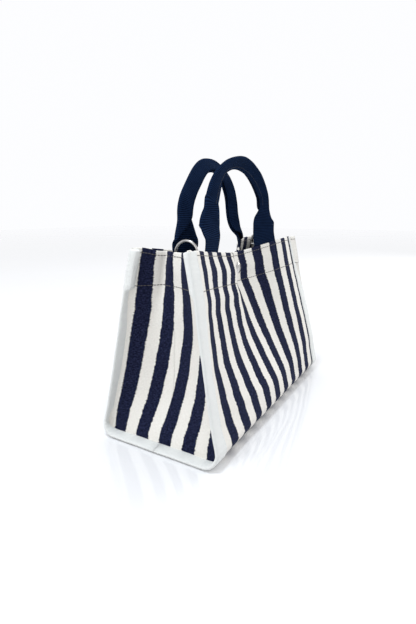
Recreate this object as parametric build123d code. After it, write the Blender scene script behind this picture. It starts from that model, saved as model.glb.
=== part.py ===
from build123d import *
import math
import os

# Small striped canvas tote with bound edges, two webbing handles, a press stud and two D-rings.
# Millimetres, +Z up. The origin is the middle of the base on the surface it stands on.
# +X runs along the width, the front faces -Y and the left gusset faces -X.

# ---- Driving dimensions ----
WIDTH = 320.0             # over the bound edges of the base
SIDE_WIDTH = 312.0        # over the bound edges of the front and back, just above the base
DEPTH = 140.0             # front to back at the base
CORNER_HEIGHT = 200.0     # top edge at the four corners
CLOTH = 1.2               # canvas thickness
EDGE_RADIUS = 15.0        # roll of the cloth from the base into the sides
HEM_DEPTH = 40.0          # turned hem below the top edge

BINDING_WIDTH = 19.0      # finished width of the folded tape
BINDING_THICK = 3.6       # tape, and the two seam allowances inside it
BINDING_PROUD = 0.6       # tape standing proud of the cloth
WRAP_WIDTH = 5.4          # thicker end of the bound edge, where it holds the hems
WRAP_THICK = 3.4
GUSSET_INSET = 12.0       # gusset cloth behind the bound edge of the base

SIDE_LEAN = 34.0          # how far each top corner leans in over the base
PINCH_DEPTH = 31.6        # how much further the closed press stud draws the middle in
PINCH_SAG = 15.5          # drop of the top edge where it is drawn in
TAPER = 0.035             # share of its width that a side loses from base to top edge
STUD_X = 12.0             # the press stud's place along the width
STUD_DROP = 19.0          # the press stud's centre below the top edge
STUD_LEVEL = 0.8          # share of the height above which the stud holds the cloth upright

CORNER_LEVELS = [6.5, 10.5]  # heights where the gusset's rounded lower corners are drawn
FOLD_GAP = 0.6            # clearance at the fold line where a side swings from the base
SEAM_GAP = 0.4            # clearance between a gusset and the sides it is sewn to

WEBBING_WIDTH = 38.0
WEBBING_THICK = 1.8
HANDLE_CENTRE_X = -4.0
HANDLE_SPACING = 144.0    # between the middles of a handle's two legs
HANDLE_Y = 18.0           # handle fold line, from the middle plane
HANDLE_Z = 212.0          # handle fold line above the base
FRONT_LEAN = 3.0          # degrees, towards the middle plane
BACK_LEAN = -5.0
END_MARGIN = 0.02         # sewn end's start above the hem's lower edge, as a share of the side
END_UPRIGHT = 6.0         # upright length of the sewn end below the fold line
END_GAP = 1.7             # between the sewn end and the handle's round edge
GRIP_Z = 250.0            # where the webbing is folded to half its width
GRIP_RISE = 55.0          # outer height of the grip's arch above that
GRIP_HALF = 10.0          # half the folded width
GRIP_THICK = 6.0

RING_INNER = 25.0
RING_WIRE = 3.0
RING_STRAIGHT = 4.0       # straight sides between the bar and the half circle
RING_X, RING_Y, RING_Z = -106.5, -5.0, 189.5
TAB_WIDTH = 18.0
TAB_THICK = 1.6
TAB_LOW, TAB_HIGH = 162.0, 182.0   # where the tab lies on the gusset's hem
TAB_BORE = 1.95           # inner radius of the tab's loop
TAB_WALL = 1.0

CAP_RADIUS = 7.5
CAP_THICK = 1.6
SOCKET_RADIUS = 6.0
SOCKET_THICK = 2.4
STUD_HEAD_RADIUS = 2.4
STUD_HEAD_LENGTH = 1.9
SOCKET_BORE_RADIUS = 3.8
SOCKET_BORE_DEPTH = 2.0
STUD_CLEARANCE = 0.4      # between the closed socket and the stud's flange

# ---- Derived places ----
TIP_X = WIDTH / 2
SIDE_TIP_X = SIDE_WIDTH / 2
CLOTH_X = SIDE_TIP_X - BINDING_WIDTH
GUSSET_X = -(TIP_X - GUSSET_INSET) + CLOTH / 2
HALF = DEPTH / 2
PANEL_Z = EDGE_RADIUS + FOLD_GAP
PANEL_HEIGHT = CORNER_HEIGHT - PANEL_Z
HEM_V = 1 - HEM_DEPTH / PANEL_HEIGHT

# Plan shape of the drawn-in side, from 0 at the corners to 1 at the press stud
PINCH_PLAN = [(-CLOTH_X, 0.0), (-90, 0.40), (-29, 0.76), (-8, 1.0), (24, 1.0), (52, 0.73),
              (78, 0.29), (106, 0.09), (CLOTH_X, 0.0)]
# Upright shape of it, from the base fold at 0 to the top edge at 1
PINCH_RISE = [(0.0, 0.0), (0.12, 0.0), (0.42, 0.58), (0.70, 1.0),
              (STUD_LEVEL, 1.0 + SIDE_LEAN * (1 - STUD_LEVEL) / PINCH_DEPTH), (1.0, 1.0)]
# Upright shape of a gusset's inward fold
FOLD_RISE = [(0.0, 0.0), (0.22, 0.40), (0.55, 0.50), (1.0, 1.0)]
# Plan of the left gusset's fold at the top edge, from the back towards the front
FOLD_PLAN = [(-131, 17), (-111, 5), (-111, -15)]
FOLD_SHARES = [0.5, 0.15, -0.3]   # the same points as shares of the half depth, where it lies flat


def along(table, value):
    """Straight-line value between the table's points."""
    for (a, fa), (b, fb) in zip(table, table[1:]):
        if value <= b:
            share = max(0.0, (value - a) / (b - a))
            return fa + (fb - fa) * share
    return table[-1][1]


def top_edge(u):
    """Height of the front side's top edge at the cloth's own width u."""
    return CORNER_HEIGHT - PINCH_SAG * along(PINCH_PLAN, u)


def side_point(u, v, inward=0.0):
    """Point on the front side at the cloth's own width u and height share v, moved inward."""
    y = -HALF + SIDE_LEAN * v + PINCH_DEPTH * along(PINCH_PLAN, u) * along(PINCH_RISE, v)
    return u * (1 - TAPER * v), y + inward, PANEL_Z + (top_edge(u) - PANEL_Z) * v


def breaks(table, low, high):
    """The table's places between low and high, with both ends."""
    return [low] + [p[0] for p in table if low < p[0] < high] + [high]


def polygon(points):
    return Face(Wire.make_polygon([Vector(*p) for p in points], close=True))


def side_sheet(u_low, u_high, v_low, v_high, outer, inner):
    """Sheet that follows the front side, between two depths inward from its outer face."""
    sections = []
    heights = breaks(PINCH_RISE, v_low, v_high)
    for u in breaks(PINCH_PLAN, u_low, u_high):
        out_edge = [side_point(u, v, outer) for v in heights]
        in_edge = [side_point(u, v, inner) for v in reversed(heights)]
        sections.append(polygon(out_edge + in_edge))
    return loft(sections, ruled=True)


def ribbon(points, low, high):
    """Closed outline between two offsets from an open line of (x, y) points, square to X at its ends."""
    normals = []
    for (x0, y0), (x1, y1) in zip(points, points[1:]):
        length = math.hypot(x1 - x0, y1 - y0)
        normals.append(((y0 - y1) / length, (x1 - x0) / length))
    edges = [[], []]
    for i, (x, y) in enumerate(points):
        if i in (0, len(points) - 1):
            shift_x, shift_y = 1 / normals[min(i, len(normals) - 1)][0], 0.0
        else:
            sum_x, sum_y = normals[i - 1][0] + normals[i][0], normals[i - 1][1] + normals[i][1]
            square = sum_x * sum_x + sum_y * sum_y
            shift_x, shift_y = 2 * sum_x / square, 2 * sum_y / square
        for edge, offset in zip(edges, (low, high)):
            edge.append((x + shift_x * offset, y + shift_y * offset))
    return edges[0] + edges[1][::-1]


def gusset_line(z):
    """Plan of the left gusset's middle line at height z."""
    v = max(0.0, (z - PANEL_Z) / PANEL_HEIGHT)
    fold = along(FOLD_RISE, v)
    half = HALF - SIDE_LEAN * v - BINDING_THICK + BINDING_PROUD - SEAM_GAP
    if z < EDGE_RADIUS:
        inner = EDGE_RADIUS - BINDING_THICK
        rise = max(EDGE_RADIUS - z, 0.0)
        half = HALF - EDGE_RADIUS + math.sqrt(max(inner * inner - rise * rise, 0.0)) - SEAM_GAP
    root = GUSSET_X * (1 - TAPER * v)
    points = [(root, half)]
    for (x_top, y_top), share in zip(FOLD_PLAN, FOLD_SHARES):
        points.append((root + (x_top - root) * fold, share * half + (y_top - share * half) * fold))
    return points + [(root, -half)]


def gusset_sheet(heights, low, high):
    """Sheet that follows the left gusset, between two offsets from its middle towards the inside."""
    sections = []
    for z in heights:
        outline = ribbon(gusset_line(z), low, high)
        sections.append(polygon([(x, y, z) for x, y in outline]))
    return loft(sections, ruled=True)


def base_profile(thick, low_x, high_x):
    """Trough along X: flat base with its two long edges rolled up by a quarter turn."""
    run = HALF - EDGE_RADIUS
    inner = EDGE_RADIUS - thick
    with BuildSketch(Plane.YZ.offset(low_x)) as sketch:
        with BuildLine():
            outer_end = (HALF, EDGE_RADIUS)
            Line((-run, 0), (run, 0))
            CenterArc((run, EDGE_RADIUS), EDGE_RADIUS, -90, 90)
            Line(outer_end, (run + inner, EDGE_RADIUS))
            CenterArc((run, EDGE_RADIUS), inner, 0, -90)
            Line((run, thick), (-run, thick))
            CenterArc((-run, EDGE_RADIUS), inner, -90, -90)
            Line((-run - inner, EDGE_RADIUS), (-HALF, EDGE_RADIUS))
            CenterArc((-run, EDGE_RADIUS), EDGE_RADIUS, 180, 90)
        make_face()
    return extrude(sketch.sketch, amount=high_x - low_x)


def handle_end(x_mid):
    """Flat end of the webbing: sewn inside the hem, turning parallel to X at the fold line."""
    top = HANDLE_Z - WEBBING_THICK / 2 - END_GAP
    narrowing = 1 - TAPER * (top - PANEL_Z) / PANEL_HEIGHT
    low, high = [(x_mid + s * WEBBING_WIDTH / 2) / narrowing for s in (-1, 1)]
    sections = []
    for u in breaks(PINCH_PLAN, low, high):
        outer = [side_point(u, v, 2 * CLOTH) for v in breaks(PINCH_RISE, HEM_V + END_MARGIN, 1.0)]
        for z in (top - END_UPRIGHT, top):
            x = u * (1 - TAPER * (z - PANEL_Z) / (top_edge(u) - PANEL_Z))
            outer.append((x, -HANDLE_Y - WEBBING_THICK / 2, z))
        inner = [(x, y + WEBBING_THICK, z) for x, y, z in reversed(outer)]
        sections.append(polygon(outer + inner))
    return loft(sections, ruled=True)


def leg(x_mid, x_grip):
    """One leg of the handle, from its fold line up to the folded grip."""
    pin = Pos(x_mid, 0, 0) * Rot(0, 90, 0) * Cylinder(WEBBING_THICK / 2, WEBBING_WIDTH)
    rise = GRIP_Z - HANDLE_Z
    lower = Plane.XY * Pos(x_mid, 0) * Rectangle(WEBBING_WIDTH, WEBBING_THICK)
    upper = Plane.XY.offset(rise) * Pos(x_grip, 0) * Rectangle(2 * GRIP_HALF, GRIP_THICK)
    return pin + loft([lower.face(), upper.face()], ruled=True)


def handle_grip(lean):
    """Everything of the front handle above its fold line, leaning towards the middle plane."""
    half = HANDLE_SPACING / 2
    outer = Ellipse(half + GRIP_HALF, GRIP_RISE)
    inner = Ellipse(half - GRIP_HALF, GRIP_RISE - 2 * GRIP_HALF)
    keep = Pos(0, GRIP_RISE) * Rectangle(4 * half, 2 * GRIP_RISE)
    arch = extrude(Plane.XZ * ((outer - inner) & keep), amount=GRIP_THICK / 2, both=True)
    arch = Pos(0, 0, GRIP_Z - HANDLE_Z) * arch
    grip = arch + leg(-HANDLE_SPACING / 2, -half) + leg(HANDLE_SPACING / 2, half)
    return Pos(HANDLE_CENTRE_X, -HANDLE_Y, HANDLE_Z) * Rot(-lean, 0, 0) * grip


def disc(y_low, y_high, radius):
    """Round plate facing the front, between two places along Y, on the press stud's axis."""
    middle = (y_low + y_high) / 2
    plate = Rot(90, 0, 0) * Cylinder(radius, y_high - y_low)
    return Pos(STUD_X, middle, STUD_Z) * plate


def mirrored(shape, plane):
    return mirror(shape, about=plane)


STUD_Z = CORNER_HEIGHT - PINCH_SAG - STUD_DROP
STUD_V = (STUD_Z - PANEL_Z) / (CORNER_HEIGHT - PINCH_SAG - PANEL_Z)


def d_ring():
    """D of round wire: straight bar along Y, two short sides and a half circle."""
    half = (RING_INNER + RING_WIRE) / 2
    top = RING_Z + RING_STRAIGHT
    with BuildLine() as path:
        Line((RING_X, RING_Y - half, RING_Z), (RING_X, RING_Y + half, RING_Z))
        Line((RING_X, RING_Y + half, RING_Z), (RING_X, RING_Y + half, top))
        ThreePointArc((RING_X, RING_Y + half, top), (RING_X, RING_Y, top + half), (RING_X, RING_Y - half, top))
        Line((RING_X, RING_Y - half, top), (RING_X, RING_Y - half, RING_Z))
    profile = Plane((RING_X, RING_Y, RING_Z), z_dir=(0, 1, 0)) * Circle(RING_WIRE / 2)
    return sweep(profile, path.wire(), transition=Transition.ROUND)


def ring_tab():
    """Strap sewn to the gusset's hem, ending in a loop that holds the ring's bar."""
    radius = TAB_BORE + TAB_WALL
    faces = [(gusset_line(z)[2][0] + 1.5 * CLOTH, z) for z in (TAB_LOW, TAB_HIGH)]
    faces.append((RING_X - radius, RING_Z))
    outline = faces + [(x + TAB_THICK, z) for x, z in reversed(faces)]
    edge = RING_Y - TAB_WIDTH / 2
    strap = extrude(polygon([(x, edge, z) for x, z in outline]), amount=TAB_WIDTH, dir=(0, 1, 0))
    axis = Pos(RING_X, RING_Y, RING_Z) * Rot(90, 0, 0)
    return strap + axis * Cylinder(radius, TAB_WIDTH) - axis * Cylinder(TAB_BORE, TAB_WIDTH)


parts = {}

# ---- Base body: base cloth, gussets, bottom bindings, tabs ----
parts["base_cloth"] = base_profile(CLOTH, -CLOTH_X, CLOTH_X)
parts["left_base_binding"] = base_profile(BINDING_THICK, -TIP_X, -CLOTH_X)
parts["right_base_binding"] = base_profile(BINDING_THICK, CLOTH_X, TIP_X)

top_z = CORNER_HEIGHT
hem_z = CORNER_HEIGHT - HEM_DEPTH
fold_z = [PANEL_Z + v * PANEL_HEIGHT for v, _ in FOLD_RISE[1:-1]]
gusset_levels = [BINDING_THICK, *CORNER_LEVELS, PANEL_Z, *fold_z, hem_z, top_z]
left_side = {
    "gusset": gusset_sheet(gusset_levels, -CLOTH / 2, CLOTH / 2),
    "gusset_hem": gusset_sheet([hem_z, top_z], CLOTH / 2, CLOTH * 1.5),
    "ring_tab": ring_tab(),
    "d_ring": d_ring(),
}
for name, shape in left_side.items():
    parts["left_" + name] = shape
    parts["right_" + name] = shape.rotate(Axis.Z, 180)

# ---- Front side, and the back side as its mirror image ----
side = {
    "cloth": side_sheet(-CLOTH_X, CLOTH_X, 0, 1, 0, CLOTH),
    "hem": side_sheet(-CLOTH_X, CLOTH_X, HEM_V, 1, CLOTH, 2 * CLOTH),
    "handle_ends": Compound([handle_end(HANDLE_CENTRE_X + s * HANDLE_SPACING / 2) for s in (-1, 1)]),
}
outer, inner = -BINDING_PROUD, BINDING_THICK - BINDING_PROUD
edge = {
    "binding": side_sheet(-SIDE_TIP_X, -CLOTH_X, 0, 1, outer, inner),
    "binding_wrap": side_sheet(-SIDE_TIP_X, WRAP_WIDTH - SIDE_TIP_X, HEM_V, 1, inner, inner + WRAP_THICK),
}
for name, shape in side.items():
    parts["front_" + name] = shape
    parts["back_" + name] = mirrored(shape, Plane.XZ)
for name, shape in edge.items():
    for end, placed in (("left", shape), ("right", mirrored(shape, Plane.YZ))):
        parts[end + "_front_" + name] = placed
        parts[end + "_back_" + name] = mirrored(placed, Plane.XZ)

parts["front_handle"] = handle_grip(FRONT_LEAN)
parts["back_handle"] = mirrored(handle_grip(BACK_LEAN), Plane.XZ)

# ---- Press stud: cap and socket on the front, stud and post on the back ----
face_y = side_point(STUD_X, STUD_V)[1]
inner_y = side_point(STUD_X, STUD_V, 2 * CLOTH)[1]
bore = disc(inner_y + SOCKET_THICK - SOCKET_BORE_DEPTH, inner_y + SOCKET_THICK, SOCKET_BORE_RADIUS)
flange_y = inner_y + SOCKET_THICK + STUD_CLEARANCE
parts["stud_cap"] = disc(face_y - CAP_THICK, face_y, CAP_RADIUS)
parts["stud_socket"] = disc(inner_y, inner_y + SOCKET_THICK, SOCKET_RADIUS) - bore
parts["stud_ball"] = disc(flange_y - STUD_HEAD_LENGTH, flange_y, STUD_HEAD_RADIUS) + disc(
    flange_y, -inner_y, SOCKET_RADIUS)
parts["stud_post"] = disc(-face_y, -face_y + CAP_THICK, CAP_RADIUS)

os.makedirs("parts", exist_ok=True)
for name, shape in parts.items():
    export_step(shape, "parts/" + name + ".step")
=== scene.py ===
import math

import bpy
import numpy as np
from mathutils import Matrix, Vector


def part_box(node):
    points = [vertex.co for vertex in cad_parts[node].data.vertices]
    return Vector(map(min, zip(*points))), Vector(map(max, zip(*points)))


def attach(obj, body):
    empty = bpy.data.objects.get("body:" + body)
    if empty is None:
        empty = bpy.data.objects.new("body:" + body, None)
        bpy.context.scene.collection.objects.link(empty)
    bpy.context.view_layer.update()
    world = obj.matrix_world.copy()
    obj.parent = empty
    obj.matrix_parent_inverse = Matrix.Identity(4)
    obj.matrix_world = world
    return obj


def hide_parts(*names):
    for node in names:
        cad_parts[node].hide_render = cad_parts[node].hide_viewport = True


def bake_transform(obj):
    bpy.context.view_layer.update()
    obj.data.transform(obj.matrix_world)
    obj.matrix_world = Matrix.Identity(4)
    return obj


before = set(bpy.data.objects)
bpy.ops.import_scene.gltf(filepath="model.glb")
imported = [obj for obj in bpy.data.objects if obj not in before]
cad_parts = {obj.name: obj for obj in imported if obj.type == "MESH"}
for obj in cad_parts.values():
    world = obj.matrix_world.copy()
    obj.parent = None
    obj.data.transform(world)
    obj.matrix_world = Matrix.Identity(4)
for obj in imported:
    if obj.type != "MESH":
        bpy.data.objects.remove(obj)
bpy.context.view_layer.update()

MM = 0.001

# ---------------------------------------------------------------- shapes, in millimetres
BASE_Z, SIDE_TOP = 15.0, 200.0
HALF_DEPTH, LEAN, PINCH, SAG, TAPER = 70.0, 34.0, 31.6, 15.5, 0.035
ROLL = 15.0
HEM = 40.0
CLOTH_U = 137.0
PLAN = [(-137, 0.0), (-90, 0.40), (-29, 0.76), (-8, 1.0), (24, 1.0), (52, 0.73), (78, 0.29), (106, 0.09),
        (137, 0.0)]
PLAN_TOP = [(-137, 0.0), (-90, 0.38), (-40, 0.63), (-16, 0.70), (-2, 1.0), (24, 1.0), (52, 0.73), (78, 0.29),
            (106, 0.09), (137, 0.0)]
RISE = [(0.0, 0.0), (0.12, 0.0), (0.42, 0.58), (0.70, 1.0), (0.80, 1.215), (1.0, 1.0)]
PITCH, NAVY, FIRST = 28.7, 0.53, -126.0


def smooth(points, low, high, sigma, step):
    xs = np.arange(low, high + step / 2, step)
    ys = np.interp(xs, [p[0] for p in points], [p[1] for p in points])
    n = int(4 * sigma / step) + 1
    w = np.exp(-0.5 * (np.arange(-n, n + 1) * step / sigma) ** 2)
    return xs, np.convolve(np.pad(ys, n, mode="edge"), w / w.sum(), "valid")


# How much deeper the cloth curves in beyond the main fold: rows of (height share, depths at the widths in
# CURVE_U). The depths are not hand-made folds. A scratch camera-fit program worked them out for the front
# side, and they were rounded to 0.5 mm: see "A rule that scene.py breaks" in report.md.
CURVE_U = [-156, -137, -122, -90, -60, -32, -5, 25, 53, 82, 112, 137]
CURVE = [
    (0.00, [0.0, 0.5, 1.0, 0.5, 0.0, 0.0, 0.0, 0.0, 0.0, 0.0, 0.0, 0.0]),
    (0.10, [0.5, 3.5, 5.5, 4.0, 2.0, 0.5, 0.0, 0.0, -0.5, -1.0, -1.0, 0.0]),
    (0.20, [0.5, 4.0, 7.5, 6.0, 5.0, 3.5, 1.0, 0.0, -0.5, -1.5, -2.5, -1.0]),
    (0.35, [0.5, 4.5, 8.5, 8.0, 7.0, 5.5, 1.5, -1.0, -0.5, -0.5, -2.0, 0.0]),
    (0.50, [0.5, 4.0, 7.0, 5.5, 5.0, 4.5, 1.0, 0.0, -2.0, 0.0, 0.0, 1.5]),
    (0.63, [0.0, 3.0, 5.0, 4.0, 3.5, 2.0, 0.0, -1.0, -3.0, -0.5, 1.0, 3.0]),
    (0.75, [0.0, 1.5, 2.0, -0.5, -1.5, -2.5, -1.5, -2.5, -4.0, -0.5, 2.0, 4.5]),
    (0.87, [0.0, 2.0, 2.0, -1.0, -3.0, -5.0, -2.5, -2.5, -3.5, 0.0, 2.5, 5.0]),
    (1.00, [0.5, 3.0, 3.0, 2.0, 2.5, 0.5, 0.5, 2.0, 0.0, 1.0, 3.0, 5.5]),
]


def curve_table():
    """The CURVE rows spread smoothly over width."""
    levels = np.array([level for level, _ in CURVE])
    rows = [smooth(list(zip(CURVE_U, depths)), -175, 175, 6, 0.5)[1] for _, depths in CURVE]
    return levels, np.array(rows)


T_PLAN = smooth(PLAN, -175, 175, 7, 0.5)
T_PLAN_TOP = smooth(PLAN_TOP, -175, 175, 3.2, 0.5)
T_SAG = smooth(PLAN, -175, 175, 12, 0.5)
T_RISE = smooth(RISE, 0, 1, 0.03, 0.005)
T_CURVE = curve_table()


def deeper(u, v):
    """Depth added by CURVE at width u and height share v."""
    column = np.clip((u + 175) * 2, 0, T_CURVE[1].shape[1] - 1.001)
    j = column.astype(int)
    f = column - j
    rows = T_CURVE[1][:, j] * (1 - f) + T_CURVE[1][:, j + 1] * f
    out = np.zeros_like(u, dtype=float)
    levels = T_CURVE[0]
    for i in range(len(levels) - 1):
        t = np.clip((v - levels[i]) / (levels[i + 1] - levels[i]), 0, 1)
        t = t * t * (3 - 2 * t)
        if i == 0:
            out = rows[0] * (1 - t) + rows[1] * t
        else:
            out = out + (rows[i + 1] - rows[i]) * t
    return out


def ease(a, b, x):
    t = np.clip((np.asarray(x, float) - a) / (b - a), 0, 1)
    return t * t * (3 - 2 * t)


class Noise:
    """Smooth repeatable value noise on a plane."""

    def __init__(self, seed):
        self.grid = np.random.RandomState(seed).uniform(-1, 1, (64, 64))

    def __call__(self, a, b):
        a, b = np.broadcast_arrays(np.asarray(a, float), np.asarray(b, float))
        ia, ib = np.floor(a).astype(int), np.floor(b).astype(int)
        fa, fb = a - ia, b - ib
        fa, fb = fa * fa * (3 - 2 * fa), fb * fb * (3 - 2 * fb)
        g = self.grid
        p = g[ia % 64, ib % 64] * (1 - fa) + g[(ia + 1) % 64, ib % 64] * fa
        q = g[ia % 64, (ib + 1) % 64] * (1 - fa) + g[(ia + 1) % 64, (ib + 1) % 64] * fa
        return p * (1 - fb) + q * fb


def top_of(u):
    return SIDE_TOP - SAG * np.interp(u, *T_SAG)


def side(u, v):
    """Outer face of the front side at cloth width u and height share v."""
    u, v = np.broadcast_arrays(np.asarray(u, float), np.asarray(v, float))
    w = ease(0.42, 0.72, v)
    plan = (1 - w) * np.interp(u, *T_PLAN) + w * np.interp(u, *T_PLAN_TOP)
    y = -HALF_DEPTH + LEAN * v + PINCH * plan * np.interp(v, *T_RISE) + deeper(u, v)
    return np.stack([u * (1 - TAPER * v), y, BASE_Z + (top_of(u) - BASE_Z) * v], -1)


def grid_normals(p):
    """Unit normals of a grid of points, by central differences."""
    a, b = np.gradient(p, axis=0), np.gradient(p, axis=1)
    n = np.cross(a, b)
    return n / np.maximum(np.linalg.norm(n, axis=-1, keepdims=True), 1e-9)


def unit(v):
    return v / np.maximum(np.linalg.norm(v, axis=-1, keepdims=True), 1e-9)


# ---------------------------------------------------------------- mesh building
def new_mesh(name, verts, faces, uvs=None, smooth_shade=True):
    me = bpy.data.meshes.new(name)
    points = [tuple(v) for v in np.asarray(verts, float) * MM]
    me.from_pydata(points, [], [tuple(int(i) for i in f) for f in faces])
    if uvs is not None:
        layer = me.uv_layers.new(name="UVMap")
        idx = np.empty(len(me.loops), int)
        me.loops.foreach_get("vertex_index", idx)
        layer.data.foreach_set("uv", (np.asarray(uvs, float) * MM)[idx].astype(np.float32).ravel())
    me.validate()
    if smooth_shade:
        me.shade_smooth()
    ob = bpy.data.objects.new(name, me)
    bpy.context.scene.collection.objects.link(ob)
    return ob


def grid_faces(nr, nc, start=0, flip=False, wrap=False):
    out = []
    cols = nc if wrap else nc - 1
    for i in range(nr - 1):
        for j in range(cols):
            a, b = start + i * nc + j, start + i * nc + (j + 1) % nc
            c, d = b + nc, a + nc
            out.append((a, d, c, b) if flip else (a, b, c, d))
    return out


def sheet_mesh(name, mid, uv, half, flip=False):
    """Closed cloth sheet of even thickness about a grid of middle points (rows, columns, 3)."""
    nr, nc = mid.shape[:2]
    n = grid_normals(mid)
    front, back = (mid + n * half).reshape(-1, 3), (mid - n * half).reshape(-1, 3)
    k = nr * nc
    faces = grid_faces(nr, nc, 0, flip=False) + grid_faces(nr, nc, k, flip=True)
    rim = [i * nc for i in range(nr)] + [(nr - 1) * nc + j for j in range(1, nc)]
    rim += [i * nc + nc - 1 for i in range(nr - 2, -1, -1)] + [j for j in range(nc - 2, 0, -1)]
    for a, b in zip(rim, rim[1:] + rim[:1]):
        faces.append((b, a, a + k, b + k))
    if flip:
        faces = [tuple(reversed(f)) for f in faces]
    uv2 = np.concatenate([uv.reshape(-1, 2)] * 2)
    return new_mesh(name, np.concatenate([front, back]), faces, uv2)


def loops_mesh(name, rings, uv=None, caps=True, flip=False):
    """Skin over closed rings (stations, points, 3)."""
    nr, nc = rings.shape[:2]
    faces = grid_faces(nr, nc, 0, flip=flip, wrap=True)
    if caps:
        faces.append(tuple(range(nc)) if flip else tuple(reversed(range(nc))))
        last = [(nr - 1) * nc + j for j in range(nc)]
        faces.append(tuple(reversed(last)) if flip else tuple(last))
    return new_mesh(name, rings.reshape(-1, 3), faces, None if uv is None else uv.reshape(-1, 2))


def mirrored_y(points):
    return points * np.array([1, -1, 1])


def dashes(name, line, normal, pitch, length, width, height, jitter=0.0, seed=1):
    """One row of separate stitches laid along a line of points."""
    rng = np.random.RandomState(seed)
    step = np.linalg.norm(np.diff(line, axis=0), axis=1)
    s = np.concatenate([[0], np.cumsum(step)])
    verts, faces = [], []
    for centre in np.arange(pitch * 0.6, s[-1] - pitch * 0.6, pitch):
        c = centre + rng.uniform(-jitter, jitter)
        stations = c + np.array([-0.5, -0.36, 0.0, 0.36, 0.5]) * length
        p = np.stack([np.interp(stations, s, line[:, k]) for k in range(3)], -1)
        n = unit(np.stack([np.interp(stations, s, normal[:, k]) for k in range(3)], -1))
        t = unit(p[-1] - p[0])
        b = np.cross(t, n)
        scale = np.array([0.25, 0.8, 1.0, 0.8, 0.25])
        lift = np.array([-0.35, 0.25, 0.5, 0.25, -0.35]) * height
        base = len(verts)
        for i in range(5):
            for ang in (0, 60, 120, 180, 240, 300):
                ca, sa = math.cos(math.radians(ang)), math.sin(math.radians(ang))
                verts.append(p[i] + b[i] * ca * width / 2 * scale[i]
                             + n[i] * (sa * height / 2 * scale[i] + lift[i]))
        for i in range(4):
            for j in range(6):
                a0, a1 = base + i * 6 + j, base + i * 6 + (j + 1) % 6
                faces.append((a0, a1, a1 + 6, a0 + 6))
        faces.append(tuple(base + j for j in range(5, -1, -1)))
        faces.append(tuple(base + 24 + j for j in range(6)))
    return new_mesh(name, np.array(verts), faces)


# ---------------------------------------------------------------- materials
def node_material(name):
    mat = bpy.data.materials.new(name)
    mat.use_nodes = True
    nt = mat.node_tree
    return mat, nt, nt.nodes["Principled BSDF"]


class Nodes:
    """Small helper for wiring shader nodes."""

    def __init__(self, nt):
        self.nt = nt

    def put(self, socket, value):
        if hasattr(value, "is_output"):
            self.nt.links.new(value, socket)
        elif isinstance(value, (tuple, list)):
            socket.default_value = tuple(value)
        else:
            socket.default_value = value

    def math(self, op, a, b=0.0, c=0.0, clamp=False):
        n = self.nt.nodes.new("ShaderNodeMath")
        n.operation, n.use_clamp = op, clamp
        for s, v in zip(n.inputs, (a, b, c)):
            self.put(s, v)
        return n.outputs[0]

    def uv(self):
        n = self.nt.nodes.new("ShaderNodeUVMap")
        n.uv_map = "UVMap"
        s = self.nt.nodes.new("ShaderNodeSeparateXYZ")
        self.nt.links.new(n.outputs[0], s.inputs[0])
        return s.outputs[0], s.outputs[1]

    def obj(self):
        n = self.nt.nodes.new("ShaderNodeTexCoord")
        return n.outputs["Object"]

    def combine(self, x, y, z=0.0):
        n = self.nt.nodes.new("ShaderNodeCombineXYZ")
        for s, v in zip(n.inputs, (x, y, z)):
            self.put(s, v)
        return n.outputs[0]

    def noise(self, vector, scale, detail=2.0, rough=0.5):
        n = self.nt.nodes.new("ShaderNodeTexNoise")
        self.nt.links.new(vector, n.inputs["Vector"])
        n.inputs["Scale"].default_value = scale
        n.inputs["Detail"].default_value = detail
        n.inputs["Roughness"].default_value = rough
        return n.outputs[0]

    def remap(self, value, a, b, c, d):
        n = self.nt.nodes.new("ShaderNodeMapRange")
        for s, v in zip(n.inputs, (value, a, b, c, d)):
            self.put(s, v)
        return n.outputs[0]

    def mix(self, factor, a, b, blend="MIX"):
        n = self.nt.nodes.new("ShaderNodeMix")
        n.data_type, n.blend_type = "RGBA", blend
        self.put(n.inputs[0], factor)
        self.put(n.inputs[6], a)
        self.put(n.inputs[7], b)
        return n.outputs[2]

    def bump(self, height, distance, strength=1.0):
        n = self.nt.nodes.new("ShaderNodeBump")
        n.inputs["Strength"].default_value = strength
        n.inputs["Distance"].default_value = distance
        self.nt.links.new(height, n.inputs["Height"])
        return n.outputs[0]


def weave(k, x, y, warp, weft):
    """Height of a plain weave from two coordinates in metres."""
    a = k.math("SINE", k.math("MULTIPLY", x, 2 * math.pi / warp))
    b = k.math("SINE", k.math("MULTIPLY", y, 2 * math.pi / weft))
    both = k.math("ADD", k.math("MULTIPLY", a, b), k.math("MULTIPLY", k.math("ADD", a, b), 0.35))
    return k.math("MULTIPLY", both, 0.5)


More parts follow.
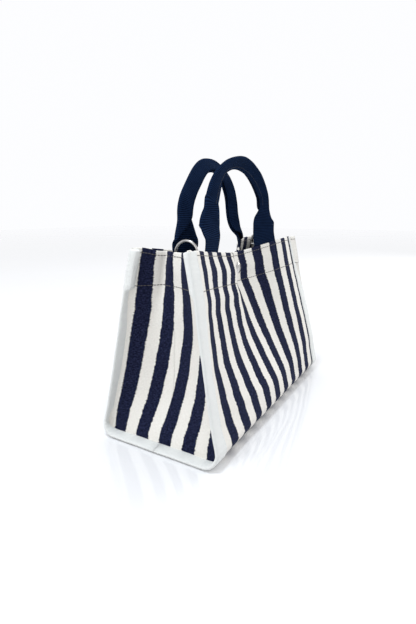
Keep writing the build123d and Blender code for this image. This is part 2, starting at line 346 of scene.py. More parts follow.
def canvas_material():
    mat, nt, bsdf = node_material("striped_canvas")
    k = Nodes(nt)
    u, v = k.uv()
    vec = k.combine(u, v)
    long_vec = k.combine(k.math("MULTIPLY", u, 0.35), v)
    wobble = k.remap(k.noise(long_vec, 750.0, 2.0, 0.6), 0.3, 0.7, -0.0009, 0.0009)
    drift = k.remap(k.noise(long_vec, 60.0, 1.0, 0.5), 0.3, 0.7, -0.0004, 0.0004)
    x = k.math("ADD", k.math("ADD", u, wobble), drift)
    stripes = k.math("DIVIDE", k.math("SUBTRACT", x, FIRST * MM), PITCH * MM)
    share = k.math("FRACT", k.math("ADD", stripes, 20.0))
    edge = k.math("SUBTRACT", NAVY / 2, k.math("ABSOLUTE", k.math("SUBTRACT", share, NAVY / 2)))
    mask = k.remap(edge, -0.012, 0.012, 0.0, 1.0)
    slub = k.noise(k.combine(k.math("MULTIPLY", u, 1.0), k.math("MULTIPLY", v, 0.25)), 1500.0, 2.0, 0.6)
    cross = k.noise(k.combine(k.math("MULTIPLY", u, 0.25), k.math("MULTIPLY", v, 1.0)), 1300.0, 2.0, 0.6)
    cloud = k.noise(vec, 45.0, 3.0, 0.55)
    # Navy: pale flecks where the slub and cross noise is high, the same noise that raises the bump. These are
    # partly the yarn's own uneven tone and partly painted highlight on raised threads.
    navy = k.mix(k.remap(k.math("ADD", slub, cross), 0.85, 1.3, 0.0, 1.0), (0.002, 0.003, 0.012, 1),
                 (0.030, 0.036, 0.088, 1))
    navy = k.mix(k.remap(cloud, 0.35, 0.7, 0.0, 0.35), navy, (0.009, 0.011, 0.032, 1))
    cream = k.mix(k.remap(k.math("ADD", slub, cross), 0.7, 1.3, 0.0, 1.0), (0.70, 0.675, 0.62, 1),
                  (0.84, 0.82, 0.77, 1))
    cream = k.mix(k.remap(cloud, 0.3, 0.7, 0.0, 0.25), cream, (0.81, 0.785, 0.73, 1))
    k.put(bsdf.inputs["Base Color"], k.mix(mask, cream, navy))
    bsdf.inputs["Roughness"].default_value = 0.82
    bsdf.inputs["Specular IOR Level"].default_value = 0.02
    bsdf.inputs["Sheen Weight"].default_value = 0.05
    bsdf.inputs["Sheen Roughness"].default_value = 0.5
    bsdf.inputs["Sheen Tint"].default_value = (0.6, 0.7, 1.0, 1)
    height = k.math("ADD", weave(k, u, v, 0.0011, 0.0011),
                    k.math("MULTIPLY", k.math("ADD", slub, cross), 0.8))
    k.put(bsdf.inputs["Normal"], k.bump(height, 0.00016, 0.8))
    return mat


def tape_material():
    mat, nt, bsdf = node_material("white_tape")
    k = Nodes(nt)
    u, v = k.uv()
    vec = k.combine(u, v)
    fine = k.noise(vec, 2200.0, 2.0, 0.6)
    cloud = k.noise(vec, 70.0, 2.0, 0.5)
    col = k.mix(k.remap(fine, 0.3, 0.7, 0.0, 1.0), (0.66, 0.675, 0.66, 1), (0.79, 0.80, 0.78, 1))
    col = k.mix(k.remap(cloud, 0.3, 0.7, 0.0, 0.3), col, (0.67, 0.69, 0.685, 1))
    k.put(bsdf.inputs["Base Color"], col)
    bsdf.inputs["Roughness"].default_value = 0.7
    bsdf.inputs["Specular IOR Level"].default_value = 0.3
    bsdf.inputs["Sheen Weight"].default_value = 0.2
    diagonal = k.math("SINE", k.math("MULTIPLY", k.math("ADD", u, v), 2 * math.pi / 0.0008))
    wander = k.math("ADD", v, k.math("MULTIPLY", cloud, 0.004))
    pucker = k.math("SINE", k.math("MULTIPLY", wander, 2 * math.pi / 0.0052))
    height = k.math("ADD", k.math("MULTIPLY", diagonal, 0.22), k.math("ADD", k.math("MULTIPLY", fine, 0.5),
                    k.math("MULTIPLY", pucker, 0.55)))
    k.put(bsdf.inputs["Normal"], k.bump(height, 0.0002, 0.8))
    return mat


def webbing_material():
    mat, nt, bsdf = node_material("navy_webbing")
    k = Nodes(nt)
    u, v = k.uv()
    rib = k.math("SINE", k.math("MULTIPLY", v, 2 * math.pi / 0.0021))
    along = k.math("SINE", k.math("MULTIPLY", u, 2 * math.pi / 0.0016))
    fuzz = k.noise(k.combine(u, v), 1400.0, 3.0, 0.65)
    cloud = k.noise(k.combine(u, v), 80.0, 2.0, 0.5)
    # Colour: lighter on the rib tops, along the weave wave and where the fuzz noise is high, the same pattern
    # that raises the bump. This is painted highlight on the rib tops, with some of the webbing's own uneven
    # fuzz.
    lift = k.math("ADD", k.math("MULTIPLY", rib, 0.30), k.math("ADD", k.math("MULTIPLY", along, 0.10), fuzz))
    col = k.mix(k.remap(lift, 0.1, 0.95, 0.0, 1.0), (0.0015, 0.003, 0.010, 1), (0.012, 0.027, 0.072, 1))
    col = k.mix(k.remap(cloud, 0.35, 0.7, 0.0, 0.3), col, (0.003, 0.006, 0.016, 1))
    k.put(bsdf.inputs["Base Color"], col)
    bsdf.inputs["Roughness"].default_value = 0.85
    bsdf.inputs["Specular IOR Level"].default_value = 0.0
    bsdf.inputs["Sheen Weight"].default_value = 0.03
    bsdf.inputs["Sheen Roughness"].default_value = 0.30
    bsdf.inputs["Sheen Tint"].default_value = (0.60, 0.76, 1.0, 1)
    height = k.math("ADD", rib, k.math("ADD", k.math("MULTIPLY", along, 0.5), k.math("MULTIPLY", fuzz, 0.8)))
    k.put(bsdf.inputs["Normal"], k.bump(height, 0.00022, 0.9))
    return mat


def thread_material(name, dark, light, sheen=0.3):
    mat, nt, bsdf = node_material(name)
    k = Nodes(nt)
    fine = k.noise(k.obj(), 2500.0, 2.0, 0.6)
    k.put(bsdf.inputs["Base Color"], k.mix(k.remap(fine, 0.3, 0.7, 0.0, 1.0), dark, light))
    bsdf.inputs["Roughness"].default_value = 0.6
    bsdf.inputs["Sheen Weight"].default_value = sheen
    k.put(bsdf.inputs["Normal"], k.bump(fine, 0.0001, 0.6))
    return mat


def metal_material():
    mat, nt, bsdf = node_material("silver_metal")
    k = Nodes(nt)
    obj = k.obj()
    marks = k.noise(obj, 900.0, 3.0, 0.6)
    wear = k.noise(obj, 160.0, 3.0, 0.6)
    worn = k.mix(k.remap(wear, 0.35, 0.7, 0.0, 1.0), (0.52, 0.51, 0.50, 1), (0.36, 0.355, 0.35, 1))
    k.put(bsdf.inputs["Base Color"], worn)
    bsdf.inputs["Metallic"].default_value = 1.0
    k.put(bsdf.inputs["Roughness"], k.remap(wear, 0.3, 0.7, 0.16, 0.34))
    k.put(bsdf.inputs["Normal"], k.bump(marks, 0.00002, 0.4))
    return mat


CANVAS, TAPE, WEBBING, METAL = canvas_material(), tape_material(), webbing_material(), metal_material()
THREAD = thread_material("stitch_thread", (0.022, 0.018, 0.016, 1), (0.075, 0.064, 0.055, 1))
WHITE_THREAD = thread_material("tape_thread", (0.60, 0.62, 0.61, 1), (0.76, 0.78, 0.77, 1))
NAVY_THREAD = thread_material("handle_thread", (0.003, 0.005, 0.012, 1), (0.010, 0.016, 0.034, 1), 0.02)


def dress(ob, mat):
    ob.data.materials.clear()
    ob.data.materials.append(mat)
    return ob


def hinge_blend(ob):
    """Bakes the object's transform into its mesh."""
    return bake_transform(ob)


# ---------------------------------------------------------------- front and back cloth
BASE_LEN = HALF_DEPTH - ROLL
ROLL_LEN = ROLL * math.pi / 2
BASE_LIFT = 1.0
PANEL_LEN = math.hypot(LEAN, SIDE_TOP - BASE_Z)
HEM_V = 1 - HEM / (SIDE_TOP - BASE_Z)
THICK = 1.2


def body_rows(rows_panel=76):
    """Rows of the cloth strip: (kind, value, length along the cloth)."""
    rows = [("base", y, y) for y in np.linspace(0, BASE_LEN, 9)[:-1]]
    rows += [("roll", a, BASE_LEN + ROLL * a) for a in np.linspace(0, math.pi / 2, 9)[:-1]]
    rows += [("panel", v, BASE_LEN + ROLL_LEN + PANEL_LEN * v) for v in np.linspace(0, 1, rows_panel)]
    return rows


def outer_point(kind, value, u):
    if kind == "base":
        return np.stack([u, np.full_like(u, -value), np.full_like(u, BASE_LIFT)], -1)
    if kind == "roll":
        y, z = -BASE_LEN - ROLL * math.sin(value), ROLL - (ROLL - BASE_LIFT) * math.cos(value)
        return np.stack([u, np.full_like(u, y), np.full_like(u, z)], -1)
    return side(u, np.full_like(u, value))


def body_surface(u, rows, seed):
    """Outer face of one half of the body cloth, with its slight unevenness."""
    outer = np.stack([outer_point(kind, value, u) for kind, value, _ in rows])
    n_in = -grid_normals(outer)
    if n_in[len(rows) // 2, len(u) // 2, 1] < 0:
        n_in = -n_in
    noise = Noise(seed)
    t = np.array([r[2] for r in rows])[:, None]
    soft = ease(BASE_LEN + 4, BASE_LEN + ROLL_LEN + 18, t)
    soft = soft * (1 - ease(118, 134, np.abs(u)))[None]
    lift = soft * (0.7 * noise(u[None] / 34, t / 42) + 0.3 * noise(u[None] / 13 + 9, t / 30))
    return outer + n_in * lift[..., None], n_in


def body_cloth(name, which, seed):
    u = np.unique(np.concatenate([np.arange(-140, 140.1, 2.5), np.arange(-24, 6, 1.25)]))
    rows = body_rows()
    outer, n_in = body_surface(u, rows, seed)
    mid = outer + n_in * THICK / 2
    t = [r[2] for r in rows]
    top, n_top = mid[-1], n_in[-1]
    up = unit(mid[-1] - mid[-3])
    fold = [top + n_top * 0.72 * (1 - math.cos(a)) + up * 0.72 * math.sin(a)
            for a in np.linspace(0.35, math.pi, 6)]
    fold_t = [t[-1] + 0.72 * a for a in np.linspace(0.35, math.pi, 6)]
    start = len(rows) - int(round((1 - HEM_V) * 75)) - 1
    down = [mid[i] + n_in[i] * 1.44 for i in range(len(rows) - 3, start - 1, -1)]
    down_t = [fold_t[-1] + (t[-1] - t[i]) for i in range(len(rows) - 3, start - 1, -1)]
    pts = np.stack(list(mid) + fold + down)
    lengths = np.array(list(t) + fold_t + down_t)
    uv = np.stack(np.broadcast_arrays(u[None], lengths[:, None]), -1)
    if which == "back_side":
        pts = mirrored_y(pts)
    ob = sheet_mesh(name, pts, uv, THICK / 2 * 0.97, flip=(which == "back_side"))
    dress(ob, CANVAS)
    hinge_blend(ob)
    return ob, (u, rows, outer, n_in)


front_cloth, front_data = body_cloth("front_body_cloth", "front_side", 11)
back_cloth, back_data = body_cloth("back_body_cloth", "back_side", 23)
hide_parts("front_cloth", "front_hem", "base_cloth")
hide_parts("back_cloth", "back_hem")

# topstitching along the hem, outside and inside
for which, data, seed in (("front", front_data, 5), ("back", back_data, 6)):
    u, rows, outer, n_in = data
    t = np.array([r[2] for r in rows])
    keep = np.abs(u) <= CLOTH_U + 1.5
    for label, drop in (("upper", 3.6), ("lower", HEM - 1.5)):
        target = t[-1] - drop * PANEL_LEN / (SIDE_TOP - BASE_Z)
        for inner in (False, True):
            columns = np.where(keep)[0]
            line = np.stack([[np.interp(target, t, outer[:, j, c]) for c in range(3)] for j in columns])
            nrm = np.stack([[np.interp(target, t, n_in[:, j, c]) for c in range(3)] for j in columns])
            line = line + nrm * (2 * THICK + 0.22 if inner else 0.02)
            if which == "back":
                line, nrm = mirrored_y(line), mirrored_y(nrm)
            name = which + "_hem_stitches_" + label + ("_inside" if inner else "")
            ob = dashes(name, line, nrm if inner else -nrm, 3.4, 2.9, 0.9, 0.5, 0.15, seed)
            dress(ob, THREAD)
            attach(ob, which + "_side")


# ---------------------------------------------------------------- bound edges
def tape_half(name, hand, which, seed):
    """Folded tape round the bound edge of one half: half the base edge, the roll and the side seam."""
    rows = body_rows(75)
    profile = [(0.0, -0.15), (0.35, -0.55), (1.0, -0.78), (3.0, -0.92), (7.0, -1.0), (12.0, -1.0),
               (15.5, -0.92),
               (17.6, -0.62), (18.6, 0.0), (19.0, 0.9), (18.7, 1.8), (17.8, 2.4), (15.5, 2.7), (12.0, 2.8),
               (9.3, 2.8), (8.2, 2.6), (7.6, 2.1), (7.6, 1.1), (4.0, 0.7)]
    noise = Noise(seed)
    block = 6.8 if hand < 0 and which == "back_side" else 2.8
    rings, uvs = [], []
    arc = np.concatenate([[0], np.cumsum([math.dist(a, b) for a, b in zip(profile, profile[1:])])])
    for kind, value, t in rows:
        low = ease(BASE_LEN + ROLL_LEN * 0.3, BASE_LEN + ROLL_LEN + 6, t)
        reach = 23.0 * (1 - low) + 19.0 * low
        v = value if kind == "panel" else 0.0
        curl = 0.3 * low
        hem = float(ease(HEM_V - 0.006, HEM_V + 0.006, v))
        pts = []
        for a, n in profile:
            share = a / 19.0
            u = CLOTH_U + share * reach
            calm = float(ease(0.0, 14.0, t))
            wave = 0.18 * float(noise(t / 9.0, a / 7.0)) + 0.22 * float(noise(t / 31.0 + 5, a / 9.0 + 7))
            depth = n + wave * calm + curl * share ** 2.2
            if a > 8.0 and n > 1.0:
                depth += block * hem * float(ease(8.0, 12.0, a))
            if a > 16.5:
                u += 0.35 * hem
            p = outer_point(kind, value, np.array([hand * u]))[0]
            q = outer_point(kind, value, np.array([hand * (u - 1)]))[0]
            if kind == "panel":
                r = side(np.array([hand * u]), np.array([min(value + 0.01, 1.0)]))[0] - side(
                    np.array([hand * u]), np.array([value - 0.01]))[0]
            elif kind == "roll":
                r = np.array([0, -math.cos(value), math.sin(value)])
            else:
                r = np.array([0, -1.0, 0])
            inward = unit(np.cross(unit(p - q) * hand, unit(r)))
            if kind == "base":
                to_middle = np.array([0, 0, 30.0]) - p
            else:
                to_middle = np.array([0, 0, p[2]]) - p * [0, 1, 1] + [0, 0, 8 if kind == "roll" else 0]
            if inward @ to_middle < 0:
                inward = -inward
            pts.append(p + inward * depth)
        rings.append(pts)
        uvs.append([(s, t) for s in arc])
    rings = np.array(rings)
    # close the top a little, like a tucked end
    end = rings[-1].mean(0)
    up = unit(rings[-1].mean(0) - rings[-3].mean(0))
    for share, rise in ((0.93, 0.5), (0.72, 0.85)):
        rings = np.concatenate([rings, (end + (rings[len(rows) - 1] - end) * share + up * rise)[None]])
        uvs.append([(s, rows[-1][2] + rise) for s in arc])
    uvs = np.array(uvs)
    if which == "back_side":
        rings = mirrored_y(rings)
    flip = (hand > 0) == (which == "front_side")
    ob = loops_mesh(name, rings, uvs, flip=flip)
    dress(ob, TAPE)
    hinge_blend(ob)
    return ob


for hand, side_name in ((-1, "left"), (1, "right")):
    for which in ("front", "back"):
        ob = tape_half(side_name + "_" + which + "_edge_tape", hand, which + "_side", 31 + hand + len(which))
        nodes = [side_name + "_" + which + "_binding", side_name + "_" + which + "_binding_wrap"]
        if which == "front":
            nodes.append(side_name + "_base_binding")
        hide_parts(*nodes)
        # the tape's own seam, close to its inner edge
        rows = body_rows(75)
        us = np.array([hand * (CLOTH_U + 2.2)])
        line = np.array([outer_point(k, v, us)[0] for k, v, _ in rows])
        nrm = []
        for (k, v, _), p in zip(rows, line):
            if k == "base":
                nrm.append((0, 0, -1.0))
            elif k == "roll":
                nrm.append((0, -math.sin(v), -math.cos(v)))
            else:
                nrm.append((0, -0.983, 0.18))
        nrm = np.array(nrm)
        line = line + nrm * 0.86
        if which == "back":
            line, nrm = mirrored_y(line), mirrored_y(nrm)
        seam = dashes(side_name + "_" + which + "_tape_stitches", line, nrm, 3.4, 2.6, 0.5, 0.34, 0.2, 3)
        dress(seam, WHITE_THREAD)
        hinge_blend(seam)


# ---------------------------------------------------------------- gussets
GUSSET_X = 147.4
FOLD_POINTS = [(126, 20.3), (111.5, 14.4), (121.6, 4.4), (122, -9.4)]
FOLD_SHARES = [0.69, 0.483, 0.29, 0.084]
T_FOLD = smooth([(0.0, 0.0), (0.45, 0.0), (0.6, 0.22), (0.8, 0.7), (1.0, 1.0)], 0, 1, 0.04, 0.005)
BOW = [(0.0, 0.0), (0.05, 4.5), (0.12, 11.0), (0.22, 18.0), (0.37, 21.5), (0.52, 20.0), (0.7, 10.0), (0.9, 0.0),
       (1.0, 0.0)]
T_BOW = smooth(BOW, 0, 1, 0.03, 0.005)
TOP_DIP = 4.5
GUSSET_FOOT = 2.6


def gusset_row(z, count):
    """Plan of the left gusset at height z, from the back seam to the front seam, evenly spaced."""
    v = max(0.0, (z - BASE_Z) / (SIDE_TOP - BASE_Z))
    fold = float(np.interp(v, *T_FOLD)) if v > 0 else 0.0
    half = HALF_DEPTH - LEAN * v - 2.3
    if z < ROLL:
        inner = ROLL - 2.3
        half = HALF_DEPTH - ROLL + math.sqrt(max(inner ** 2 - (ROLL - z) ** 2, 0.0))
    root = GUSSET_X * (1 - TAPER * v)
    pts = [(root, half)]
    for (x, y), share in zip(FOLD_POINTS, FOLD_SHARES):
        pts.append((root + (x - root) * fold, share * half + (y - share * half) * fold))
    pts.append((root, -half))
    pts = np.array(pts, float)
    for _ in range(2):
        a, b = pts[:-1] * 0.75 + pts[1:] * 0.25, pts[:-1] * 0.25 + pts[1:] * 0.75
        inner_pts = np.stack([a, b], 1).reshape(-1, 2)[1:-1]
        pts = np.concatenate([pts[:1], inner_pts, pts[-1:]])
    s = np.concatenate([[0], np.cumsum(np.linalg.norm(np.diff(pts, axis=0), axis=1))])
    ease_ends = np.linspace(0, 1, count)
    q = ease_ends * s[-1]
    xy = np.stack([np.interp(q, s, pts[:, 0]), np.interp(q, s, pts[:, 1])], -1)
    bow = float(np.interp((z - GUSSET_FOOT) / (SIDE_TOP - GUSSET_FOOT), *T_BOW))
    xy[:, 0] -= bow * (1 - np.clip(np.abs(xy[:, 1]) / half, 0, 1) ** 2)
    # round the cloth outward into the bound edge
    near = np.minimum(q, s[-1] - q)
    d = np.clip(near, 0, 5.0)
    xy[:, 0] += 5.0 - np.sqrt(25.0 - (5.0 - d) ** 2)
    full = HALF_DEPTH - 2.3
    return xy, q + max(0.0, full - half if z < ROLL else 0.0), s[-1]


def gusset_grid(seed):
    zs = np.concatenate([np.linspace(GUSSET_FOOT, 14, 9), np.linspace(16, SIDE_TOP, 64)])
    count = 86
    noise = Noise(seed)
    grid, uv = [], []
    for z in zs:
        xy, q, total = gusset_row(z, count)
        v = max(0.0, (z - BASE_Z) / (SIDE_TOP - BASE_Z))
        ripple = 0.8 * noise(q / 26.0, z / 40.0) * ease(0, 14, np.minimum(q, total - q)) * min(1.0, z / 30.0)
        dip = TOP_DIP * ease(HEM_V, 1.0, v) * ease(4, 30, np.minimum(q, total - q))
        grid.append(np.stack([-(xy[:, 0] - ripple), xy[:, 1], z - dip], -1))
        uv.append(np.stack([q, np.full(count, z)], -1))
    return np.array(grid), np.array(uv), zs


GUSSET_SHIFT = 0.22 * PITCH


def gusset(name, turn, seed):
    grid, uv, zs = gusset_grid(seed)
    # the turned hem inside
    n = grid_normals(grid)
    if n[40, 10, 0] < 0:
        n = -n
    top_rows = [i for i in range(len(zs)) if zs[i] >= SIDE_TOP - HEM]
    fold = [grid[-1] + n[-1] * 0.72 * (1 - math.cos(a)) + np.array([0, 0, 0.72 * math.sin(a)]) for a in
            np.linspace(0.4, math.pi, 5)]
    down = [grid[i] + n[i] * 1.44 for i in reversed(top_rows[:-1])]
    full = np.concatenate([grid, np.array(fold), np.array(down)])
    full_v = np.concatenate([zs, SIDE_TOP + 0.72 * np.linspace(0.4, math.pi, 5),
                             SIDE_TOP + 2.3 + np.array([SIDE_TOP - zs[i] for i in reversed(top_rows[:-1])])])
    u = uv[:, :, 0]
    full_u = np.concatenate([u, np.repeat(u[-1:], 5, 0), np.array([u[i] for i in reversed(top_rows[:-1])])])
    # stripes run parallel to the back seam
    full_uv = np.stack([full_u - GUSSET_SHIFT + FIRST, np.broadcast_to(full_v[:, None], full_u.shape)], -1)
    split = 44
    spin = np.array([-1.0, -1.0, 1.0]) if turn else np.ones(3)
    made = []
    for part, cols in (("back", slice(0, split + 1)), ("front", slice(split, None))):
        follow = part if not turn else {"back": "front", "front": "back"}[part]
        ob = sheet_mesh(name + "_" + follow + "_half", full[:, cols] * spin, full_uv[:, cols],
                        THICK / 2 * 0.97, flip=True)
        dress(ob, CANVAS)
        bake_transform(ob)
        made.append(ob)
        for label, drop in (("upper", 3.6), ("lower", HEM - 1.5)):
            line_z = SIDE_TOP - drop
            i = int(np.argmin(np.abs(zs - line_z)))
            columns = range(grid.shape[1])
            f = np.array([[np.interp(line_z, zs, grid[:, j, c]) for c in range(3)] for j in columns])
            nn = n[i]
            for inner in (False, True):
                line = (f + nn * (THICK * 1.5 + 0.2 if inner else -THICK / 2))[cols] * spin
                nrm = (nn if inner else -nn)[cols] * spin
                row_name = name + "_" + follow + "_stitches_" + label + ("_inside" if inner else "")
                st = dashes(row_name, line, nrm, 3.4, 2.9, 0.9, 0.5, 0.15, 8)
                dress(st, THREAD)
                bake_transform(st)
    return made


left_gusset = gusset("left_gusset", False, 41)
right_gusset = gusset("right_gusset", True, 47)
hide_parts("left_gusset", "left_gusset_hem")
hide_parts("right_gusset", "right_gusset_hem")


# ---------------------------------------------------------------- handles
WEB_HALF, WEB_T, FOLD_R = 19.0, 1.8, 2.1


def web_section(share, r=FOLD_R):
    """Middle line of the webbing's section, (w, n, across); share of the way from flat to folded in half."""
    over = max(WEB_HALF * share, 0.02)
    phi = min(math.pi * 0.965, 1.8 * over / r)
    back = over - r * phi / 2
    p = over - WEB_HALF
    a = [(s, 0.0, s) for s in np.linspace(WEB_HALF, p + r * phi / 2, 9)]
    arc = [(a[-1][0] - r * math.sin(g), r - r * math.cos(g), a[-1][0] - r * g)
           for g in np.linspace(0, phi, 9)[1:]]
    ex, en, ec = arc[-1]
    dx, dn = -math.cos(phi), math.sin(phi)
    b = [(ex + dx * s, en + dn * s, ec - s) for s in np.linspace(0, back, 9)[1:]]
    pts = np.array(a + arc + b)
    pts[:, 0] -= WEB_HALF / 2 * share
    pts[:, 1] -= r * share
    return pts


def webbing(name, stations, mirror, seed):
    """Skin of one handle from stations (centre, tangent, width direction, fold angle)."""
    rings, uvs, s = [], [], 0.0
    last = None
    noise = Noise(seed)
    for centre, t, width, phi in stations:
        if last is not None:
            s += float(np.linalg.norm(centre - last))
        last = centre
        w = unit(width - t * (width @ t))
        n = np.cross(t, w)
        sec = web_section(phi)
        d = unit(np.gradient(sec[:, :2], axis=0))
        nor = np.stack([-d[:, 1], d[:, 0]], -1)
        thick = np.full(len(sec), WEB_T / 2)
        thick[[0, -1]] *= 0.55
        wave = 0.3 * noise(sec[:, 2] / 9.0 + 4, s / 16.0)
        out = sec[:, :2] + nor * (thick + wave)[:, None]
        inn = sec[:, :2] - nor * (thick - wave)[:, None]
        loop = np.concatenate([out, inn[::-1]])
        across = np.concatenate([sec[:, 2], sec[::-1, 2] + 0.4])
        rings.append(centre + loop[:, :1] * w + loop[:, 1:] * n)
        uvs.append(np.stack([across, np.full(len(across), s)], -1))
    rings = np.array(rings)
    if mirror:
        rings = mirrored_y(rings)
    ob = loops_mesh(name, rings, np.array(uvs), flip=mirror)
    dress(ob, WEBBING)
    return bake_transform(ob) or ob


def catmull(points, per):
    p = np.asarray(points, float)
    p = np.concatenate([[2 * p[0] - p[1]], p, [2 * p[-1] - p[-2]]])
    out = []
    for i in range(1, len(p) - 2):
        for t in np.linspace(0, 1, per, endpoint=False):
            a, b, c, d = p[i - 1], p[i], p[i + 1], p[i + 2]
            out.append(0.5 * ((2 * b) + (-a + c) * t + (2 * a - 5 * b + 4 * c - d) * t ** 2
                              + (-a + 3 * b - 3 * c + d) * t ** 3))
    out.append(p[-2])
    return np.array(out)


def sewn_end(x_leg):
    """Stations of a handle's flat end, up the inside of the front side's hem."""
    u, eps = x_leg / (1 - TAPER), 3.0
    out = []
    for v in np.linspace(HEM_V + 0.03, 0.985, 8):
        across = unit(side(u + eps, v) - side(u - eps, v))
        inward = unit(np.cross(across, unit(side(u, v + 0.01) - side(u, v - 0.01))))
        if inward[1] < 0:
            inward = -inward
        out.append((side(u, v) + inward * (2 * THICK + 1.0), across, 0.0))
    return out


def handle(which, lean, legs, arch, twist, shift):
    """One handle: legs maps -1/+1 to rows (z, dx, dy, turn, fold), and arch is the grip's middle line (x, z).

    Twist is how far its width turns towards the bag along the grip, shift how far its right end stands off.
    """
    halves = {}
    for leg in (-1, 1):
        x_leg = -4.0 + leg * 72.0
        rows = [(p, w, f) for p, w, f in sewn_end(x_leg)]
        for z, dx, dy, turn, fold in legs[leg]:
            p = np.array([x_leg + dx, -18.0 + (z - 212.0) * lean + dy, z])
            rows.append((p, np.array([math.cos(turn), -math.sin(turn), 0.0]), fold))
        halves[leg] = rows
    line = catmull(arch, 2)
    tan = unit(np.gradient(line, axis=0))
    grip = []
    for i, ((x, z), (tx, tz)) in enumerate(zip(line, tan)):
        share = i / (len(line) - 1)
        c = float(np.interp(share, *zip(*twist)))
        y = -18.0 + (z - 212.0) * lean + shift * share
        k = math.sqrt(1 - c * c)
        grip.append((np.array([x, y, z]), np.array([tz * k, c, -tx * k]), 1.0))
    rows = halves[-1] + grip + [(p, -w, f) for p, w, f in halves[1][::-1]]
    centre = catmull([r[0] for r in rows], 4)
    width = catmull([unit(r[1]) for r in rows], 4)
    fold = np.clip(catmull([[r[2]] for r in rows], 4)[:, 0], 0, 1)
    for _ in range(6):
        centre[1:-1] = (centre[:-2] + 2 * centre[1:-1] + centre[2:]) / 4
        width[1:-1] = (width[:-2] + 2 * width[1:-1] + width[2:]) / 4
    tangent = unit(np.gradient(centre, axis=0))
    stations = list(zip(centre, tangent, width, fold))
    front = which == "front"
    ob = webbing(which + "_handle_webbing", stations, not front,
                 51 if front else 57)
    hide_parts(which + "_handle", which + "_handle_ends")
    handle_stitches(which, stations, not front)
    return ob


def handle_stitches(which, stations, mirror):
    """The seam that holds the grip folded, and the rows that fix each flat end to the hem."""
    grip = [r for r in stations if r[3] > 0.93]
    for label, sign in (("outer", -1), ("inner", 1)):
        line, nrm = [], []
        for c, t, w, phi in grip:
            w = unit(w - t * (w @ t))
            n = np.cross(t, w)
            line.append(c + w * 4.6 + n * sign * (FOLD_R + WEB_T / 2 + 0.1))
            nrm.append(n * sign)
        line, nrm = np.array(line), np.array(nrm)
        if mirror:
            line, nrm = mirrored_y(line), mirrored_y(nrm)
        ob = dashes(which + "_handle_seam_" + label, line, nrm, 3.2, 2.5, 0.6, 0.4, 0.1, 12)
        dress(ob, NAVY_THREAD)
        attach(ob, which + "_handle")
    for leg, pick in (("left", stations[:29]), ("right", stations[::-1][:29])):
        for row in (3, 24):
            c, t, w, phi = pick[row]
            w = unit(w - t * (w @ t)) * (1 if leg == "left" else -1)
            n = unit(np.cross(t * (1 if leg == "left" else -1), w))
            if n[1] < 0:
                n = -n
            line = np.array([c + w * x + n * (WEB_T / 2 + 0.12) for x in np.linspace(-16.5, 16.5, 15)])
            nrm = np.repeat(n[None], 15, 0)
            if mirror:
                line, nrm = mirrored_y(line), mirrored_y(nrm)
            ob = dashes("%s_handle_%s_end_row_%d" % (which, leg, row), line, nrm, 3.0, 2.4, 0.6, 0.4, 0.1, 13)
            dress(ob, NAVY_THREAD)
            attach(ob, which + "_side")


FRONT_LEGS = {
    -1: [(207, 1.5, -1.0, -0.12, 0.0), (214, 0.8, -0.4, -0.05, 0.0), (221, -0.4, 0.5, 0.02, 0.05),
         (228, -0.6, 0.5, 0.08, 0.25), (235, 0.2, 0, 0.14, 0.55), (242, 0.8, -0.6, 0.20, 0.85),
         (249, 0.6, -0.3, 0.22, 1.0)],
    1: [(207, 0, 0.5, 0.40, 0.0), (216, 0, 0, 0.40, 0.0), (223, 0.2, 0, 0.40, 0.03), (229, 0.6, 0, 0.40, 0.2),
        (235, 1.4, 0, 0.39, 0.6), (241, 2.4, 0, 0.38, 0.92), (247, 3, 0, 0.38, 1.0)],
}
BACK_LEGS = {
    -1: [(203, 0, 1.5, -0.30, 0.05), (209, 0, 1.5, -0.33, 0.25), (216, 0.8, 1.5, -0.37, 0.5),
         (223, 1.6, 1.4, -0.40, 0.75), (231, 2.6, 0.7, -0.43, 0.95), (240, 3.6, 0, -0.43, 1.0)],
    1: [(203, -2, -1, 0.30, 0.6), (208, -3.5, -1.5, 0.25, 0.8), (214, -6, -2.5, -0.05, 1.0),
        (220, -9, -3.5, -0.32, 1.0), (228, -10.5, -4.5, -0.42, 1.0), (238, -11, -5, -0.42, 1.0)],
}
# middle lines of the grips (x, z), listed after unprojecting outline points of the photo
FRONT_ARCH = [(-72, 252), (-66, 264), (-57, 275.5), (-46, 284.5), (-31, 292.5), (-4, 298.5), (20, 296),
              (42, 287), (60, 272.5), (71, 258)]
BACK_ARCH = [(-67, 251), (-58, 262), (-46, 273.5), (-32, 286), (-16, 295), (0, 297.5), (15, 296), (31, 288.5),
             (45, 277), (54, 263), (57.5, 248)]
FRONT_TWIST = [(0.0, -0.22), (0.14, -0.10), (0.3, 0.30), (0.48, 0.68), (0.62, 0.70), (0.82, 0.50),
               (1.0, 0.37)]
BACK_TWIST = [(0.0, 0.42), (0.3, 0.50), (0.5, 0.50), (0.66, 0.15), (0.82, -0.25), (1.0, -0.42)]
handle("front", math.tan(math.radians(3.0)), FRONT_LEGS, FRONT_ARCH, FRONT_TWIST, 0.0)
handle("back", math.tan(math.radians(-5.0)), BACK_LEGS, BACK_ARCH, BACK_TWIST, -5.0)


# ---------------------------------------------------------------- tabs, rings and press stud
def lathe(name, profile, centre, forward, segments=48):
    """Turned metal piece: profile of (radius, height) along Y from its seat; forward -1 faces the front."""
    rings = []
    for a in np.linspace(0, 2 * math.pi, segments, endpoint=False):
        rings.append([(centre[0] + r * math.cos(a), centre[1] + forward * h, centre[2] + r * math.sin(a))
                      for r, h in profile])
    rings = np.array(rings)
    n, m = rings.shape[:2]
    faces = []
    for i in range(n):
        for j in range(m - 1):
            a, b = i * m + j, ((i + 1) % n) * m + j
            faces.append((a, b, b + 1, a + 1) if forward < 0 else (a, a + 1, b + 1, b))
    ob = new_mesh(name, rings.reshape(-1, 3), faces)
    mod = ob.modifiers.new("weld", "WELD")
    mod.merge_threshold = 0.00001
    return dress(ob, METAL)


def box_of(node):
    low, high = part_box(node)
    return np.array(low) / MM, np.array(high) / MM


